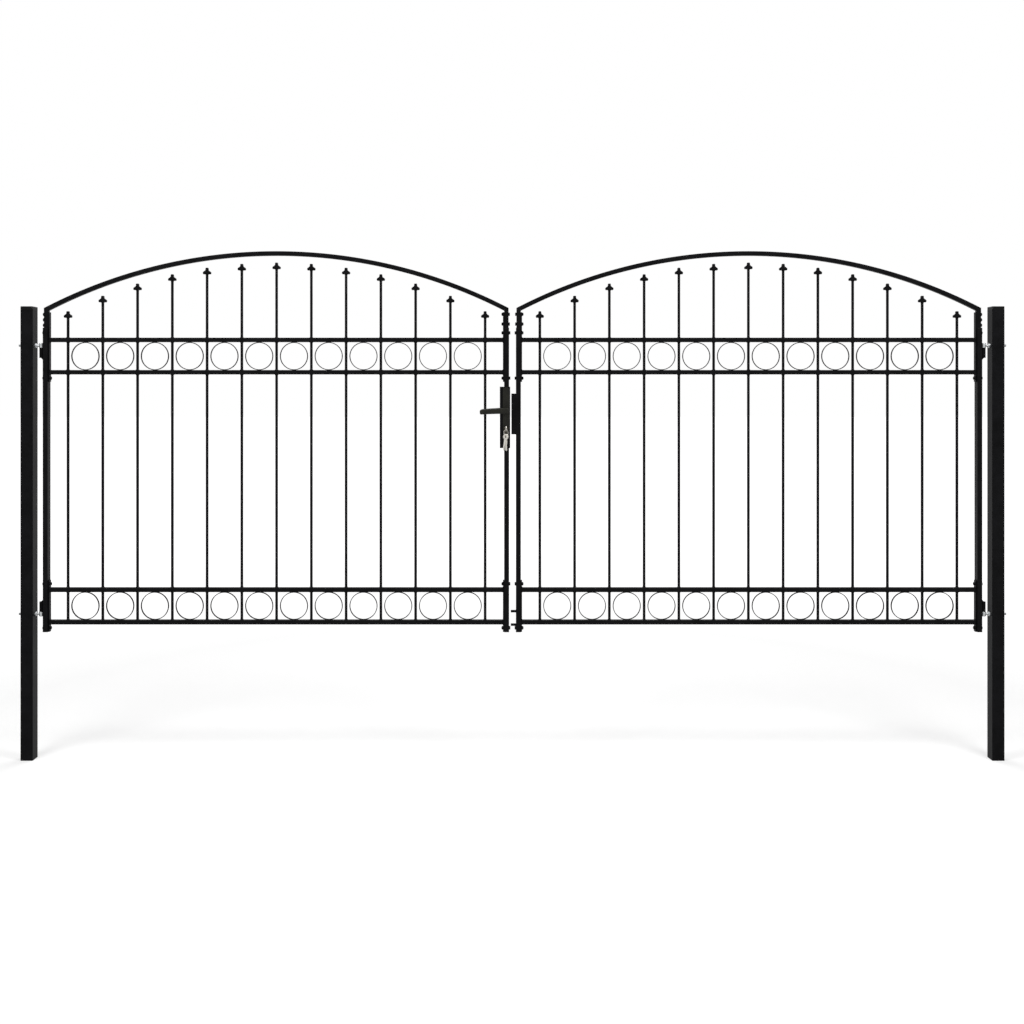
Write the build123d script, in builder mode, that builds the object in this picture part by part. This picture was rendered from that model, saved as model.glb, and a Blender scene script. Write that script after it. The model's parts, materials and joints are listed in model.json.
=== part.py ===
"""Double-leaf arched garden gate of welded steel tube, hung between two square posts.

Millimetres, +Z up. The origin is the middle of the left post's foot, +X runs along the closed gate to
the right post, and the front of the gate faces -Y. The left leaf is drawn in place and its twin is
mirrored about the middle of the gate.
"""

import os
from math import cos, radians, sin, sqrt

from build123d import *

# The gate as a whole
gate_width = 4000.0  # outer face to outer face of the posts
leaf_foot = 520.0  # underside of the leaves over the feet of the posts
middle_gap = 28.0  # between the inner stiles of the closed leaves
overrun = 1.0  # how far a cutting shape runs past the wall it cuts

# Posts and their caps
post_side = 50.0
post_wall = 2.0
post_corner = 3.0  # outer corner radius
post_head = 72.0  # top of the tube over the tops of the stiles
cap_rim = 15.0  # what shows of a cap above its post
cap_edge = 2.0
cap_plug = 20.0  # what hides inside the post
cap_play = 0.1

# Eye bolts and hinge brackets
bolt_diameter = 10.0  # flat to flat, the thread left off
bolt_sides = 8
bolt_play = 0.2  # all round, in the holes of the post
bolt_tail = 16.0  # thread past the outer face of the post
nut_across = 17.0  # flat to flat
nut_height = 5.0
hinge_offset = 25.5  # inner face of the post to the hinge axis
eye_diameter = 18.0
eye_height = 18.0
eye_inset = 72.0  # middle of an eye to the end of the stile
pin_diameter = 10.0
pin_play = 0.05  # radial, in the eye
pin_edge = 1.0
eye_gap = 0.3  # between an eye and the knuckle that turns on it
knuckle_diameter = 16.0
knuckle_height = 41.0
gusset_height = 67.0  # where it meets the stile
gusset_thickness = 8.0
stile_set = 11.0  # hinge axis to the outer face of the stile

# Leaf frame
stile_width = 20.0
stile_depth = 30.0
stile_wall = 1.5
stile_length = 1240.0  # plugs included
plug_rim = 4.0
plug_depth = 15.0
plug_play = 0.1
tube_side = 18.0  # rails and arch
leg_height = 76.0  # stile top to where the arch springs from its leg
arch_rise = 228.0
end_plate_thickness = 5.0
end_plate_depth = 18.0
end_plate_tail = 30.0  # past the outer rails of a band
arch_plate_reach = 104.0  # of the upper end plates, over the top rail
lower_band_foot = 30.0  # underside of the bottom rail over the foot of the leaf
upper_band_drop = 40.0  # top of the upper band under the top of the stile

# Pickets, finials and rings
picket_count = 13
picket_margin = 72.75  # end plate to the middle of the first picket
picket_diameter = 11.0  # flat to flat
picket_sides = 6
picket_play = 0.1
finial_width = 34.0
finial_height = 27.0
finial_thickness = 10.0
finial_gap_middle = 28.0  # tip to the underside of the arch at the middle of the leaf
finial_gap_end = 40.0  # the same at the first and last picket
ring_gap = 8.5  # between a ring and the pickets beside it
ring_sides = 8
ring_strip = 3.0
ring_depth = 8.0
# Right half of a finial's outline, as shares of half its width and of its height
finial_outline_shares = [(0.34, 0.0), (0.94, 0.06), (1.0, 0.32), (0.4, 0.6), (0.32, 1.0)]

# Lock, lever and keys
lock_drop = 175.0  # underside of the upper band down to the middle of the lock
lock_case_width = 40.0
lock_case_height = 246.0
lock_overhang = 3.5  # of the case, past the inner face of the stile
lock_plate_width = 42.0
lock_plate_height = 250.0
lock_plate_thickness = 3.0
lock_plate_edge = 1.0
pad_width = 27.0  # raised middle of a lock plate, round at both ends
pad_height = 188.0
pad_rise = 3.0
spindle_inset = 15.5  # closing face of the lock to the middle of the spindle and the cylinder
spindle_rise = 27.0  # over the middle of the lock
spindle_side = 8.0  # square bar
spindle_hole = 12.0  # flat to flat
spindle_hole_sides = 8
lever_gap = 0.3  # neck to pad
neck_diameter = 18.0
neck_length = 35.0  # pad to the back of the arm
arm_length = 96.0  # spindle to the middle of the rounded tip
arm_root_height = 24.0
arm_tip_height = 20.0
arm_droop = 3.0
arm_thickness = 10.0
arm_edge = 2.0
cylinder_drop = 72.0  # below the spindle
cylinder_diameter = 17.0
cylinder_tail_width = 10.0
cylinder_height = 33.0
cylinder_reach = 3.0  # past the pads
cylinder_play = 0.1
key_thickness = 2.5
key_bow = 24.0  # flat to flat
key_bow_sides = 8
key_neck_length = 8.0
key_neck_width = 9.0
key_hole = 9.0  # flat to flat
key_blade_length = 45.0
key_blade_width = 9.0
key_ring_outer = 28.0
key_ring_wire = 2.0
key_ring_sides = 12
key_ring_turn = 50.0  # degrees about the upright, off the plane of the gate
key_hang_play = 0.3

# Strike box and studs
strike_rise = 14.0  # middle of the box over the middle of the lock
strike_height = 166.0
strike_reach = 18.5  # past the inner face of the stile
strike_wrap = 12.0  # over the front and the back of the stile
strike_sheet = 3.0
strike_slot_width = 14.0
latch_slot_height = 36.0
bolt_slot_height = 44.0
bolt_slot_drop = 76.0  # below the latch slot
latch_slot_rise = 38.0  # over the middle of the box
stud_diameter = 10.5
stud_reach = 21.0
lower_stud_rise = 28.0  # over the foot of the leaf
upper_stud_rise = 83.0

# Places worked out from the sizes above
half_post = post_side / 2
post_spacing = gate_width - post_side
gate_middle = Plane.YZ.offset(post_spacing / 2)
hinge_x = half_post + hinge_offset
stile_outer_x = hinge_x + stile_set
leaf_outer_x = stile_outer_x + stile_width
inner_face_x = (post_spacing - middle_gap) / 2
leaf_inner_x = inner_face_x - stile_width
leaf_middle_x = (stile_outer_x + inner_face_x) / 2
stile_top = leaf_foot + stile_length
post_length = stile_top + post_head
lower_eye_level = leaf_foot + eye_inset
upper_eye_level = stile_top - eye_inset
half_depth = stile_depth / 2
half_tube = tube_side / 2
rail_start_x = leaf_outer_x + end_plate_thickness
rail_length = leaf_inner_x - leaf_outer_x - 2 * end_plate_thickness
picket_pitch = (rail_length - 2 * picket_margin) / (picket_count - 1)
ring_outer = picket_pitch - picket_diameter - 2 * ring_gap  # flat to flat
band_height = ring_outer + 2 * tube_side
lower_band_z = leaf_foot + lower_band_foot
upper_band_z = stile_top - upper_band_drop - band_height
picket_foot = lower_band_z + tube_side
picket_offsets = [picket_pitch * (i - (picket_count - 1) / 2) for i in range(picket_count)]

# The arch runs through the middles of its two legs
arch_half_chord = leaf_middle_x - leaf_outer_x + half_tube
arch_radius = (arch_half_chord**2 + arch_rise**2) / (2 * arch_rise)
spring_level = stile_top + leg_height
arch_centre_z = spring_level + arch_rise - arch_radius


def arch_underside(offset):
    """Height of the arch's lower face at a distance from the middle of the leaf."""
    return arch_centre_z + sqrt((arch_radius - half_tube) ** 2 - offset**2)


# The finial tips lie on an arc of their own, a little rounder than the arch
tip_half_chord = picket_offsets[-1]
tip_crown = arch_underside(0) - finial_gap_middle
tip_rise = tip_crown - arch_underside(tip_half_chord) + finial_gap_end
tip_radius = (tip_half_chord**2 + tip_rise**2) / (2 * tip_rise)
tip_centre_z = tip_crown - tip_radius
finial_feet = [tip_centre_z + sqrt(tip_radius**2 - x**2) - finial_height for x in picket_offsets]

# The lock sits in the left inner stile
lock_face_x = inner_face_x + lock_overhang
lock_x = lock_face_x - lock_case_width / 2
lock_level = upper_band_z - lock_drop
lock_foot = lock_level - lock_case_height / 2
lock_head = lock_level + lock_case_height / 2
spindle_x = lock_face_x - spindle_inset
spindle_level = lock_level + spindle_rise
cylinder_level = spindle_level - cylinder_drop
lock_front = half_depth + lock_plate_thickness
pad_front = lock_front + pad_rise
pad_level = lock_level + (lock_plate_height - pad_height) / 2 - lock_plate_edge
cylinder_front = pad_front + cylinder_reach

os.makedirs("parts", exist_ok=True)


def write(piece, node):
    """Label a finished piece and write it as its own file."""
    piece.part.label = node
    export_step(piece.part, f"parts/{node}.step")


def write_pair(piece, kind):
    """Write a piece of the left side and its mirrored twin on the right."""
    with BuildPart() as twin:
        mirror(piece.part, about=gate_middle)
    write(piece, f"left_{kind}")
    write(twin, f"right_{kind}")


# Posts: square tube, open at the foot, drilled for the two eye bolts
with BuildPart() as post:
    with BuildSketch():
        RectangleRounded(post_side, post_side, post_corner)
        Rectangle(post_side - 2 * post_wall, post_side - 2 * post_wall, mode=Mode.SUBTRACT)
    extrude(amount=post_length)
    with BuildSketch(Plane.YZ):
        with Locations((0, lower_eye_level), (0, upper_eye_level)):
            RegularPolygon(bolt_diameter / 2 + bolt_play, bolt_sides, major_radius=False)
    extrude(amount=post_side, both=True, mode=Mode.SUBTRACT)
write_pair(post, "post")

# Caps: a rim flush with the post and a plug inside it
with BuildPart() as cap:
    with BuildSketch(Plane.XY.offset(post_length)):
        Rectangle(post_side, post_side)
    extrude(amount=cap_rim)
    chamfer(cap.faces().sort_by(Axis.Z)[-1].edges() + cap.edges().filter_by(Axis.Z), length=cap_edge)
    with BuildSketch(Plane.XY.offset(post_length)):
        plug_side = post_side - 2 * (post_wall + cap_play)
        Rectangle(plug_side, plug_side)
    extrude(amount=-cap_plug)
write_pair(cap, "post_cap")

# Eye bolts: a threaded shank right through the post, and an eye with an upright bore
with BuildPart() as eye_bolts:
    for level in (lower_eye_level, upper_eye_level):
        with BuildSketch(Plane.YZ.offset(-half_post - bolt_tail)):
            with Locations((0, level)):
                RegularPolygon(bolt_diameter / 2, bolt_sides, major_radius=False)
        extrude(amount=half_post + bolt_tail + hinge_x - pin_diameter / 2)
        with Locations((hinge_x, 0, level)):
            Cylinder(eye_diameter / 2, eye_height)
            Cylinder(pin_diameter / 2 + pin_play, eye_height + overrun, mode=Mode.SUBTRACT)
write_pair(eye_bolts, "eye_bolts")

# Nuts that lock the eye bolts on the inner faces of the posts
with BuildPart() as hinge_nuts:
    for level in (lower_eye_level, upper_eye_level):
        with BuildSketch(Plane.YZ.offset(half_post)):
            with Locations((0, level)):
                RegularPolygon(nut_across / 2, 6, major_radius=False)
                RegularPolygon(bolt_diameter / 2, bolt_sides, major_radius=False, mode=Mode.SUBTRACT)
        extrude(amount=nut_height)
write_pair(hinge_nuts, "hinge_nuts")

# Hinge brackets: the upper one hangs under its eye, the lower one stands on its eye
with BuildPart() as hinge_brackets:
    for eye_level, side in ((upper_eye_level, -1), (lower_eye_level, 1)):
        near_z = eye_level + side * (eye_height / 2 + eye_gap)
        far_z = near_z + side * knuckle_height
        knuckle_z = (near_z + far_z) / 2
        with BuildSketch(Plane.XZ):
            with BuildLine():
                Polyline(
                    (hinge_x, knuckle_z - knuckle_height / 2),
                    (stile_outer_x, knuckle_z - gusset_height / 2),
                    (stile_outer_x, knuckle_z + gusset_height / 2),
                    (hinge_x, knuckle_z + knuckle_height / 2),
                    close=True,
                )
            make_face()
        extrude(amount=gusset_thickness / 2, both=True)
        with Locations((hinge_x, 0, knuckle_z)):
            Cylinder(knuckle_diameter / 2, knuckle_height)
        with BuildSketch(Plane.XY.offset(near_z)):
            with Locations((hinge_x, 0)):
                Circle(pin_diameter / 2)
        extrude(amount=-side * (eye_height + eye_gap + pin_edge))
        with BuildSketch(Plane.XY.offset(near_z)):
            with Locations((hinge_x, 0)):
                Circle(eye_diameter / 2 + overrun)
                Circle(pin_diameter / 2, mode=Mode.SUBTRACT)
        extrude(amount=-side * (eye_height + 2 * eye_gap), mode=Mode.SUBTRACT)
write_pair(hinge_brackets, "hinge_brackets")


def stile_spans(x, spans):
    """Hollow stile tubes over the given heights, with the left face at x, in the open builder."""
    for foot, head in spans:
        with BuildSketch(Plane.XY.offset(foot)) as section:
            with Locations((x + stile_width / 2, 0)):
                Rectangle(stile_width, stile_depth)
                walls = 2 * stile_wall
                Rectangle(stile_width - walls, stile_depth - walls, mode=Mode.SUBTRACT)
        extrude(section.sketch, amount=head - foot)


# Stiles: plain tubes, except the left inner one, which the lock case interrupts
tube_foot = leaf_foot + plug_rim
tube_head = stile_top - plug_rim
with BuildPart() as outer_stile:
    stile_spans(stile_outer_x, [(tube_foot, tube_head)])
write_pair(outer_stile, "outer_stile")

with BuildPart() as left_inner_stile:
    stile_spans(leaf_inner_x, [(tube_foot, lock_foot), (lock_head, tube_head)])
write(left_inner_stile, "left_inner_stile")

with BuildPart() as right_inner_stile:
    stile_spans(post_spacing - inner_face_x, [(tube_foot, tube_head)])
write(right_inner_stile, "right_inner_stile")

# Plugs that close the stiles: the arch stands on the upper ones
with BuildPart() as stile_plugs:
    for x in (stile_outer_x, leaf_inner_x):
        for end_z, side in ((tube_foot, -1), (tube_head, 1)):
            with BuildSketch(Plane.XY.offset(end_z)):
                with Locations((x + stile_width / 2, 0)):
                    Rectangle(stile_width, stile_depth)
            extrude(amount=side * plug_rim)
            with BuildSketch(Plane.XY.offset(end_z)):
                with Locations((x + stile_width / 2, 0)):
                    inset = 2 * (stile_wall + plug_play)
                    Rectangle(stile_width - inset, stile_depth - inset)
            extrude(amount=-side * plug_depth)
write_pair(stile_plugs, "stile_plugs")

# Arch: a flat band between two arcs, with a straight leg on each stile
with BuildPart() as arch:
    with BuildSketch(Plane.XZ):
        with Locations((leaf_middle_x, arch_centre_z)):
            Circle(arch_radius + half_tube)
            Circle(arch_radius - half_tube, mode=Mode.SUBTRACT)
        with Locations((leaf_middle_x, spring_level + arch_radius)):
            arch_span = 2 * (arch_half_chord + half_tube)
            Rectangle(arch_span, 2 * (arch_radius + tube_side), mode=Mode.INTERSECT)
        for x in (leaf_outer_x - half_tube, leaf_inner_x + half_tube):
            with Locations((x, stile_top)):
                Rectangle(tube_side, leg_height, align=(Align.CENTER, Align.MIN))
    extrude(amount=half_tube, both=True)
write_pair(arch, "arch")

# Rails: the three upper ones are pierced by the pickets, which stand on the bottom one
top_rail_lift = band_height - tube_side
rails = [
    ("lower_band_bottom_rail", lower_band_z),
    ("lower_band_top_rail", lower_band_z + top_rail_lift),
    ("upper_band_bottom_rail", upper_band_z),
    ("upper_band_top_rail", upper_band_z + top_rail_lift),
]
for rail_name, rail_foot in rails:
    with BuildPart() as rail:
        with Locations((rail_start_x, 0, rail_foot)):
            Box(rail_length, tube_side, tube_side, align=(Align.MIN, Align.CENTER, Align.MIN))
        if rail_foot > lower_band_z:
            with BuildSketch(Plane.XY.offset(rail_foot)):
                with Locations(*[(leaf_middle_x + x, 0) for x in picket_offsets]):
                    RegularPolygon(picket_diameter / 2 + picket_play, picket_sides, major_radius=False)
            extrude(amount=tube_side, mode=Mode.SUBTRACT)
    write_pair(rail, rail_name)

# Pickets: upright bars from the bottom rail to their finials
with BuildPart() as pickets:
    for x, finial_foot in zip(picket_offsets, finial_feet):
        with BuildSketch(Plane.XY.offset(picket_foot)):
            with Locations((leaf_middle_x + x, 0)):
                RegularPolygon(picket_diameter / 2, picket_sides, major_radius=False)
        extrude(amount=finial_foot - picket_foot)
write_pair(pickets, "pickets")

# Finials: a blunt point between two drooping lobes
finial_right = [(u * finial_width / 2, v * finial_height) for u, v in finial_outline_shares]
finial_left = [(-u, v) for u, v in reversed(finial_right)]
with BuildPart() as finials:
    with BuildSketch(Plane.XZ):
        for x, finial_foot in zip(picket_offsets, finial_feet):
            outline = [(leaf_middle_x + x + u, finial_foot + v) for u, v in finial_right + finial_left]
            with BuildLine():
                Polyline(*outline, close=True)
            make_face()
    extrude(amount=finial_thickness / 2, both=True)
write_pair(finials, "finials")

# Rings: strip rolled into rings, each welded to the rail above and the rail below it
ring_turn = 180 / ring_sides  # puts a flat at the top, where the rail touches it
for ring_name, band_foot in (("lower_rings", lower_band_z), ("upper_rings", upper_band_z)):
    ring_level = band_foot + band_height / 2
    ring_middles = [(leaf_middle_x + x + picket_pitch / 2, ring_level) for x in picket_offsets[:-1]]
    bore = ring_outer / 2 - ring_strip
    with BuildPart() as rings:
        with BuildSketch(Plane.XZ):
            with Locations(*ring_middles):
                RegularPolygon(ring_outer / 2, ring_sides, major_radius=False, rotation=ring_turn)
                RegularPolygon(bore, ring_sides, major_radius=False, rotation=ring_turn, mode=Mode.SUBTRACT)
        extrude(amount=ring_depth / 2, both=True)
    write_pair(rings, ring_name)

# End plates: flat bars that close the rail ends and are bolted to the stiles and the arch's legs
plate_spans = [
    ("lower_end_plates", lower_band_z - end_plate_tail, lower_band_z + band_height + end_plate_tail),
    ("upper_end_plates", upper_band_z - end_plate_tail, upper_band_z + band_height + arch_plate_reach),
]
for plate_name, foot, head in plate_spans:
    with BuildPart() as end_plates:
        for x in (leaf_outer_x, leaf_inner_x - end_plate_thickness):
            with Locations((x + end_plate_thickness / 2, 0, (foot + head) / 2)):
                Box(end_plate_thickness, end_plate_depth, head - foot)
    write_pair(end_plates, plate_name)


def cylinder_section(play):
    """Outline of the lock cylinder, widened by a play all round, in the open sketch on Plane.XZ."""
    with Locations((spindle_x, cylinder_level)):
        Circle(cylinder_diameter / 2 + play)
        Rectangle(
            cylinder_tail_width + 2 * play,
            cylinder_height - cylinder_diameter / 2 + play,
            align=(Align.CENTER, Align.MAX),
        )


# Lock case: a closed box welded between the two lengths of the left inner stile
with BuildPart() as lock_case:
    with Locations((lock_x, 0, lock_level)):
        Box(lock_case_width, stile_depth, lock_case_height)
    with BuildSketch(Plane.XZ):
        with Locations((spindle_x, spindle_level)):
            RegularPolygon(spindle_hole / 2, spindle_hole_sides, major_radius=False)
        cylinder_section(cylinder_play)
    extrude(amount=half_depth + overrun, both=True, mode=Mode.SUBTRACT)
write(lock_case, "lock_case")

# Lock plates: long plates on both faces of the case, each with a raised pad for lever and cylinder
for plate_name, side in (("front_lock_plate", -1), ("back_lock_plate", 1)):
    back_plane = Plane.XZ.offset(-side * half_depth)
    with BuildPart() as lock_plate:
        with BuildSketch(back_plane):
            with Locations((lock_x, lock_level)):
                Rectangle(lock_plate_width, lock_plate_height)
        extrude(amount=-side * lock_plate_thickness)
        outer_face = lock_plate.faces().sort_by(Axis.Y)[0 if side < 0 else -1]
        chamfer(outer_face.edges(), length=lock_plate_edge)
        with BuildSketch(back_plane):
            with Locations((spindle_x, pad_level)):
                SlotOverall(pad_height, pad_width, rotation=90)
        extrude(amount=-side * (lock_plate_thickness + pad_rise))
        with BuildSketch(back_plane):
            with Locations((spindle_x, spindle_level)):
                RegularPolygon(spindle_hole / 2, spindle_hole_sides, major_radius=False)
            cylinder_section(cylinder_play)
        extrude(amount=-side * (lock_plate_thickness + pad_rise), mode=Mode.SUBTRACT)
    write(lock_plate, plate_name)

# Lever handles: front and back arms on one spindle
with BuildPart() as lever_handles:
    with Locations((spindle_x, 0, spindle_level)):
        Box(spindle_side, 2 * (pad_front + lever_gap), spindle_side)
    for side in (-1, 1):
        with BuildSketch(Plane.XZ.offset(-side * (pad_front + lever_gap))):
            with Locations((spindle_x, spindle_level)):
                Circle(neck_diameter / 2)
        extrude(amount=-side * neck_length)
        with BuildSketch(Plane.XZ.offset(-side * (pad_front + lever_gap + neck_length))):
            with Locations((spindle_x, spindle_level)):
                Circle(arm_root_height / 2)
            with Locations((spindle_x - arm_length, spindle_level - arm_droop)):
                Circle(arm_tip_height / 2)
            make_hull()
        extrude(amount=-side * arm_thickness)
        arm_face = lever_handles.faces().sort_by(Axis.Y)[0 if side < 0 else -1]
        chamfer(arm_face.edges(), length=arm_edge)
write(lever_handles, "lever_handles")

# Lock cylinder: right through the case and both plates
with BuildPart() as lock_cylinder:
    with BuildSketch(Plane.XZ):
        cylinder_section(0)
    extrude(amount=cylinder_front, both=True)
write(lock_cylinder, "lock_cylinder")

bow_turn = 180 / key_bow_sides  # puts flats at the four quarters


def key_bow_section():
    """Bow of a key with its hole, in the open sketch."""
    RegularPolygon(key_bow / 2, key_bow_sides, major_radius=False, rotation=bow_turn)
    RegularPolygon(key_hole / 2, key_bow_sides, major_radius=False, rotation=bow_turn, mode=Mode.SUBTRACT)


# Key: its neck stands in the cylinder and its bow is upright, edge on to the front
bow_y = -cylinder_front - key_neck_length - key_bow / 2
with BuildPart() as lock_key:
    with BuildSketch(Plane.YZ.offset(spindle_x)):
        with Locations((bow_y, cylinder_level)):
            key_bow_section()
        with Locations((bow_y + key_bow / 2, cylinder_level)):
            Rectangle(key_neck_length, key_neck_width, align=(Align.MIN, Align.CENTER))
    extrude(amount=key_thickness / 2, both=True)
write(lock_key, "lock_key")

# Ring and spare key: the ring hangs in the bow of the key, and the spare hangs in the ring
ring_inner_radius = key_ring_outer / 2 - key_ring_wire
ring_middle_z = cylinder_level - key_hole / 2 + key_hang_play - ring_inner_radius
spare_z = ring_middle_z - ring_inner_radius + key_hang_play - key_hole / 2
turn_cos = cos(radians(key_ring_turn))
turn_sin = sin(radians(key_ring_turn))
along = (turn_cos, turn_sin, 0)
across = (turn_sin, -turn_cos, 0)
ring_plane = Plane((spindle_x, bow_y, ring_middle_z), x_dir=along, z_dir=across)
spare_plane = Plane((spindle_x, bow_y, spare_z), x_dir=across, z_dir=(-turn_cos, -turn_sin, 0))
key_ring_flat = 180 / key_ring_sides
with BuildPart() as hanging_keys:
    with BuildSketch(ring_plane):
        RegularPolygon(key_ring_outer / 2, key_ring_sides, major_radius=False, rotation=key_ring_flat)
        RegularPolygon(
            ring_inner_radius,
            key_ring_sides,
            major_radius=False,
            rotation=key_ring_flat,
            mode=Mode.SUBTRACT,
        )
    extrude(amount=key_ring_wire / 2, both=True)
    with BuildSketch(spare_plane):
        key_bow_section()
        with Locations((0, -key_bow / 2)):
            Rectangle(key_blade_width, key_blade_length, align=(Align.CENTER, Align.MAX))
    extrude(amount=key_thickness / 2, both=True)
write(hanging_keys, "hanging_keys")

# Strike box: folded sheet round the edge of the right inner stile, slotted for latch and bolt
strike_face_x = post_spacing - inner_face_x - strike_reach
strike_level = lock_level + strike_rise
strike_depth = stile_depth + 2 * strike_sheet
latch_level = strike_level + latch_slot_rise
with BuildPart() as strike_box:
    with Locations((strike_face_x, 0, strike_level)):
        strike_length = strike_reach + strike_wrap
        Box(strike_length, strike_depth, strike_height, align=(Align.MIN, Align.CENTER, Align.CENTER))
    with Locations((strike_face_x + strike_sheet, 0, strike_level)):
        Box(
            strike_reach - strike_sheet,
            stile_depth,
            strike_height - 2 * strike_sheet,
            align=(Align.MIN, Align.CENTER, Align.CENTER),
            mode=Mode.SUBTRACT,
        )
    with Locations((strike_face_x + strike_reach, 0, strike_level)):
        Box(
            strike_wrap + overrun,
            stile_depth,
            strike_height + overrun,
            align=(Align.MIN, Align.CENTER, Align.CENTER),
            mode=Mode.SUBTRACT,
        )
    slots = ((latch_level, latch_slot_height), (latch_level - bolt_slot_drop, bolt_slot_height))
    for level, height in slots:
        with Locations((strike_face_x, 0, level)):
            Box(2 * strike_sheet + overrun, strike_slot_width, height, mode=Mode.SUBTRACT)
write(strike_box, "strike_box")

# Studs: two short round bars on the closing face of the right inner stile
with BuildPart() as closing_studs:
    for rise in (lower_stud_rise, upper_stud_rise):
        with BuildSketch(Plane.YZ.offset(post_spacing - inner_face_x)):
            with Locations((0, leaf_foot + rise)):
                Circle(stud_diameter / 2)
        extrude(amount=-stud_reach)
write(closing_studs, "closing_studs")
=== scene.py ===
# %% [markdown]
# # A double garden gate in black powder-coated steel
# The gate comes flat-packed: two arched leaves of welded bar hang on eye bolts between two square
# posts. The solids of the gate are already made, in metres and in their places. This lesson gives
# them their round bars, welds, bolts, threads and finishes, and then lights and photographs them.

# %% Load the frame
import json
import math

import bmesh
import bpy
from mathutils import Matrix, Vector


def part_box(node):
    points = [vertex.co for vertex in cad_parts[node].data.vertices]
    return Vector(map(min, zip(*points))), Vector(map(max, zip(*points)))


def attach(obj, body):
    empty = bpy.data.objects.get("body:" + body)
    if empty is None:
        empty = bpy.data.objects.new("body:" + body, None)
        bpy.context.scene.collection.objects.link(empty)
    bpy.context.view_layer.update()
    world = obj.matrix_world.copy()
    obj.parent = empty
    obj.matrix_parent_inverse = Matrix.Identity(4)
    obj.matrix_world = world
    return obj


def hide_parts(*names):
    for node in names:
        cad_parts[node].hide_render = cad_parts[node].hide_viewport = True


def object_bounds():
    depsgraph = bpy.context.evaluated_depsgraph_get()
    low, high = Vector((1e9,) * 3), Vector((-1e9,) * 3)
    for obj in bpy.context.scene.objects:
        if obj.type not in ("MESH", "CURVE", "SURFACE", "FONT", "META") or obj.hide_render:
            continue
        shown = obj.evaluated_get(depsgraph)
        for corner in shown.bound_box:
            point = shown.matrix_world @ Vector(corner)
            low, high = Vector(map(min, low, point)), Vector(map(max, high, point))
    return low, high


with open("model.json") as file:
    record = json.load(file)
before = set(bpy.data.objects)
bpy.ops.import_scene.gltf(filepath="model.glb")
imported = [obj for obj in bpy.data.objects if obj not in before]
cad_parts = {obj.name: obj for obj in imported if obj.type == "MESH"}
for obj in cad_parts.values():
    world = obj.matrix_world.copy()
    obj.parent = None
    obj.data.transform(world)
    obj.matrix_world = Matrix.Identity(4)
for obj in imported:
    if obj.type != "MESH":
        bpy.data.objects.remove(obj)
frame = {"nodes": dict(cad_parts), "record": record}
cad_low, cad_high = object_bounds()
mm = 0.001
middle_x = (cad_low.x + cad_high.x) / 2
print("gate", [round(v, 3) for v in cad_high - cad_low], "middle", round(middle_x, 4))

# %% [markdown]
# ## Colours and nodes
# A colour picked from a screen is written in sRGB, but a shader adds light in linear numbers, so one
# function turns hex codes to linear. Two more empty the node tree of a new material, and add a node to
# it with its settings, plain values and links. That keeps each material down to its own facts.

# %% Helpers for materials


def linear(hex_code):
    """An sRGB hex code as linear RGBA."""
    shares = [int(hex_code[i : i + 2], 16) / 255 for i in (1, 3, 5)]
    return [s / 12.92 if s <= 0.04045 else ((s + 0.055) / 1.055) ** 2.4 for s in shares] + [1.0]


def empty_tree(owner):
    """The node tree of a new material or world, emptied."""
    owner.use_nodes = True
    owner.node_tree.nodes.clear()
    return owner.node_tree


def add(tree, kind, settings=(), values=(), links=()):
    """One shader node, with its settings, socket values and incoming links."""
    made = tree.nodes.new(kind)
    for name, value in dict(settings).items():
        setattr(made, name, value)
    for socket, value in dict(values).items():
        made.inputs[socket].default_value = value
    for socket, source in dict(links).items():
        tree.links.new(source, made.inputs[socket])
    return made


print("white is", linear("#ffffff"), "and mid grey", [round(v, 3) for v in linear("#808080")])

# %% [markdown]
# ## Noise of a real size
# Paint, plastic and plating are never quite even: their tone clouds slowly, and a fine grain lies over
# it. Pictures could be wrapped round the gate for that, but noise needs no pictures and no unwrapping.
# It reads Object coordinates, so a pattern has a real size: scale 1 / size repeats about once in it.

# %% Noise, and a stretch of its range


def noise(tree, place, size_mm, detail, roughness=0.5):
    """Noise that repeats about once in a size."""
    values = {"Scale": 1 / (size_mm * mm), "Detail": detail, "Roughness": roughness}
    return add(tree, "ShaderNodeTexNoise", values=values, links={"Vector": place}).outputs["Fac"]


def stretch(tree, value, old, new=(0.0, 1.0)):
    """A value carried from an old range to a new one, and clamped there."""
    values = {"From Min": old[0], "From Max": old[1], "To Min": new[0], "To Max": new[1]}
    return add(tree, "ShaderNodeMapRange", values=values, links={"Value": value}).outputs["Result"]


print("a grain of 2 mm has scale", 1 / (2 * mm))

# %% [markdown]
# ## One recipe for the finishes
# Each finish lies between two close tones. A slow drift and a fine grain share out the tones, the drift
# also varies the roughness, and the grain gives the bump. Each finish could have a tree of its own, but
# they differ only in their facts, so one function holds the recipe. Real grains of powder, mould and
# zinc are a few tenths of a millimetre. They are drawn several times coarser here, so that they show.

# %% A finish from its facts
drift_detail = 3.0
drift_roughness = 0.55
grain_detail = 2.0
tone_range = (0.4, 0.62)  # of the noise, narrow enough to bring out both tones
gloss_range = (0.3, 0.7)
bump_strength = 0.6


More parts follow.
